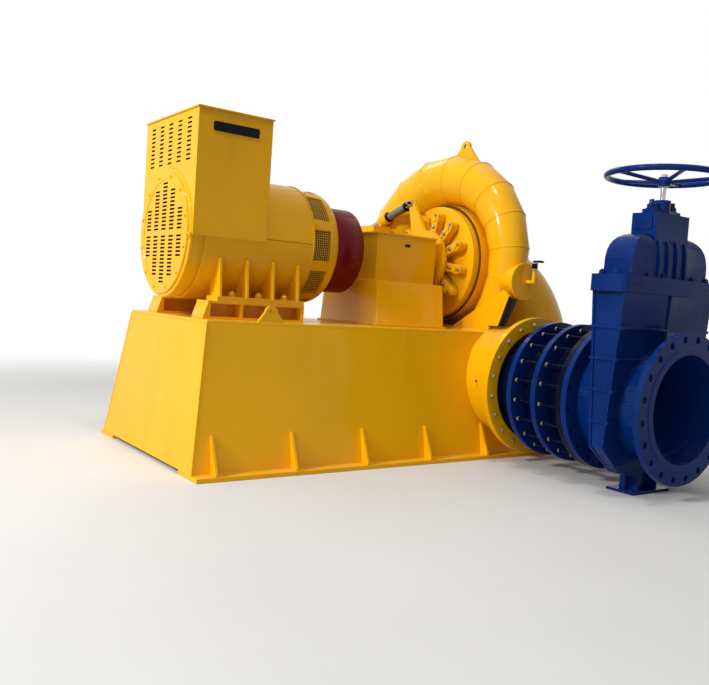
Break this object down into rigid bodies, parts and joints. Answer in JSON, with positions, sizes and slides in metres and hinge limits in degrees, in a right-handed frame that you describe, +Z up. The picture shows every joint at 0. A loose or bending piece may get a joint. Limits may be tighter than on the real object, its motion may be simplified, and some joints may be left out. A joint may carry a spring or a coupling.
{
  "type": "hydroelectric generator",
  "caption": "Horizontal Francis turbine and generator on a welded base, with spiral case, guide vane gear, draft tube and blue inlet gate valve",
  "frame": {"origin": "On the floor under the shaft, in the middle of the base's length: the underside of the middle cross beam", "axes": "+X along the shaft from the generator to the turbine, +Y away from the inlet side, +Z up"},
  "size_m": [3.51, 2.9659, 2.1675],
  "materials": {
    "yellow_paint": "semi-gloss",
    "maroon_paint": "semi-gloss",
    "blue_paint": "semi-gloss",
    "dark_paint": "satin",
    "bare_steel": "machined",
    "black_rubber": "matte"
  },
  "bodies": {
    "unit": {"base_front_wall": "yellow_paint", "base_rear_wall": "yellow_paint", "base_end_walls": "yellow_paint", "base_deck": "yellow_paint", "base_foot_plates": "yellow_paint", "base_cross_beams": "yellow_paint", "base_gussets": "yellow_paint", "base_lifting_lugs": "yellow_paint", "generator_supports": "yellow_paint", "generator_feet": "yellow_paint", "generator_barrel": "yellow_paint", "generator_rear_ring": "yellow_paint", "generator_rear_cover": "yellow_paint", "terminal_box": "yellow_paint", "terminal_box_lid": "yellow_paint", "drive_end_shield": "yellow_paint", "air_screens": "dark_paint", "bearing_pedestal": "yellow_paint", "bearing_housing": "yellow_paint", "bearing_cover": "yellow_paint", "governor_stand": "yellow_paint", "servo_cylinder": "dark_paint", "head_cover": "yellow_paint", "shaft_gland": "yellow_paint", "stay_ring": "yellow_paint", "spiral_case": "yellow_paint", "case_nose": "yellow_paint", "case_lifting_lug": "yellow_paint", "case_web": "yellow_paint", "inlet_pipe": "yellow_paint", "inlet_flange": "yellow_paint", "inlet_seal": "black_rubber", "side_nozzle": "yellow_paint", "vent_pipe": "yellow_paint", "draft_tube": "yellow_paint", "draft_tube_flanges": "yellow_paint", "joint_sleeve": "blue_paint", "joint_rings": "blue_paint", "valve_body": "blue_paint", "valve_foot": "blue_paint", "valve_bonnet": "blue_paint", "valve_gland": "blue_paint"},
    "rotor": {"main_shaft": "bare_steel", "flywheel": "maroon_paint"},
    "regulating_ring": {"regulating_ring": "yellow_paint"},
    "servo_rod": {"servo_rod": "bare_steel"},
    "guide_lever_1": {"guide_lever_1": "yellow_paint"},
    "guide_lever_2": {"guide_lever_2": "yellow_paint"},
    "guide_lever_3": {"guide_lever_3": "yellow_paint"},
    "guide_lever_4": {"guide_lever_4": "yellow_paint"},
    "guide_lever_5": {"guide_lever_5": "yellow_paint"},
    "guide_lever_6": {"guide_lever_6": "yellow_paint"},
    "guide_lever_7": {"guide_lever_7": "yellow_paint"},
    "guide_lever_8": {"guide_lever_8": "yellow_paint"},
    "guide_lever_9": {"guide_lever_9": "yellow_paint"},
    "guide_lever_10": {"guide_lever_10": "yellow_paint"},
    "guide_lever_11": {"guide_lever_11": "yellow_paint"},
    "guide_lever_12": {"guide_lever_12": "yellow_paint"},
    "valve_handwheel": {"valve_handwheel": "blue_paint"},
    "vent_valve_lever": {"vent_valve_lever": "dark_paint"}
  },
  "joints": [
    {"name": "rotor_spin", "type": "hinge", "parent": "unit", "child": "rotor", "pos_m": [0.31, 0, 1.28002], "axis": [1, 0, 0], "continuous": true},
    {"name": "ring_turn", "type": "hinge", "parent": "unit", "child": "regulating_ring", "pos_m": [0.6425, 0, 1.28002], "axis": [1, 0, 0], "range_deg": [0, 12]},
    {"name": "servo_slide", "type": "slide", "parent": "unit", "child": "servo_rod", "axis": [0, -0.9511, 0.309], "range_m": [0, 0.0962]},
    {"name": "guide_lever_1_turn", "type": "hinge", "parent": "unit", "child": "guide_lever_1", "pos_m": [0.692, 0.29544, 1.33212], "axis": [-1, 0, 0], "range_deg": [0, 19.2]},
    {"name": "guide_lever_2_turn", "type": "hinge", "parent": "unit", "child": "guide_lever_2", "pos_m": [0.692, 0.22981, 1.47286], "axis": [-1, 0, 0], "range_deg": [0, 19.2]},
    {"name": "guide_lever_3_turn", "type": "hinge", "parent": "unit", "child": "guide_lever_3", "pos_m": [0.692, 0.10261, 1.56193], "axis": [-1, 0, 0], "range_deg": [0, 19.2]},
    {"name": "guide_lever_4_turn", "type": "hinge", "parent": "unit", "child": "guide_lever_4", "pos_m": [0.692, -0.05209, 1.57546], "axis": [-1, 0, 0], "range_deg": [0, 19.2]},
    {"name": "guide_lever_5_turn", "type": "hinge", "parent": "unit", "child": "guide_lever_5", "pos_m": [0.692, -0.19284, 1.50984], "axis": [-1, 0, 0], "range_deg": [0, 19.2]},
    {"name": "guide_lever_6_turn", "type": "hinge", "parent": "unit", "child": "guide_lever_6", "pos_m": [0.692, -0.28191, 1.38263], "axis": [-1, 0, 0], "range_deg": [0, 19.2]},
    {"name": "guide_lever_7_turn", "type": "hinge", "parent": "unit", "child": "guide_lever_7", "pos_m": [0.692, -0.29544, 1.22793], "axis": [-1, 0, 0], "range_deg": [0, 19.2]},
    {"name": "guide_lever_8_turn", "type": "hinge", "parent": "unit", "child": "guide_lever_8", "pos_m": [0.692, -0.22981, 1.08719], "axis": [-1, 0, 0], "range_deg": [0, 19.2]},
    {"name": "guide_lever_9_turn", "type": "hinge", "parent": "unit", "child": "guide_lever_9", "pos_m": [0.692, -0.10261, 0.99811], "axis": [-1, 0, 0], "range_deg": [0, 19.2]},
    {"name": "guide_lever_10_turn", "type": "hinge", "parent": "unit", "child": "guide_lever_10", "pos_m": [0.692, 0.05209, 0.98458], "axis": [-1, 0, 0], "range_deg": [0, 19.2]},
    {"name": "guide_lever_11_turn", "type": "hinge", "parent": "unit", "child": "guide_lever_11", "pos_m": [0.692, 0.19284, 1.05021], "axis": [-1, 0, 0], "range_deg": [0, 19.2]},
    {"name": "guide_lever_12_turn", "type": "hinge", "parent": "unit", "child": "guide_lever_12", "pos_m": [0.692, 0.28191, 1.17742], "axis": [-1, 0, 0], "range_deg": [0, 19.2]},
    {"name": "handwheel_turn", "type": "hinge", "parent": "unit", "child": "valve_handwheel", "pos_m": [0.915, -1.688, 1.65], "axis": [0, 0, 1], "continuous": true},
    {"name": "vent_lever_turn", "type": "hinge", "parent": "unit", "child": "vent_valve_lever", "pos_m": [0.935, -0.77023, 1.29502], "axis": [0, 0, 1], "range_deg": [0, 90]}
  ],
  "couplings": [
    {"joint": "servo_slide", "follows": "ring_turn", "m_per_rad": 0.45863},
    {"joint": "guide_lever_1_turn", "follows": "ring_turn", "ratio": 1.59},
    {"joint": "guide_lever_2_turn", "follows": "ring_turn", "ratio": 1.59},
    {"joint": "guide_lever_3_turn", "follows": "ring_turn", "ratio": 1.59},
    {"joint": "guide_lever_4_turn", "follows": "ring_turn", "ratio": 1.59},
    {"joint": "guide_lever_5_turn", "follows": "ring_turn", "ratio": 1.59},
    {"joint": "guide_lever_6_turn", "follows": "ring_turn", "ratio": 1.59},
    {"joint": "guide_lever_7_turn", "follows": "ring_turn", "ratio": 1.59},
    {"joint": "guide_lever_8_turn", "follows": "ring_turn", "ratio": 1.59},
    {"joint": "guide_lever_9_turn", "follows": "ring_turn", "ratio": 1.59},
    {"joint": "guide_lever_10_turn", "follows": "ring_turn", "ratio": 1.59},
    {"joint": "guide_lever_11_turn", "follows": "ring_turn", "ratio": 1.59},
    {"joint": "guide_lever_12_turn", "follows": "ring_turn", "ratio": 1.59}
  ]
}
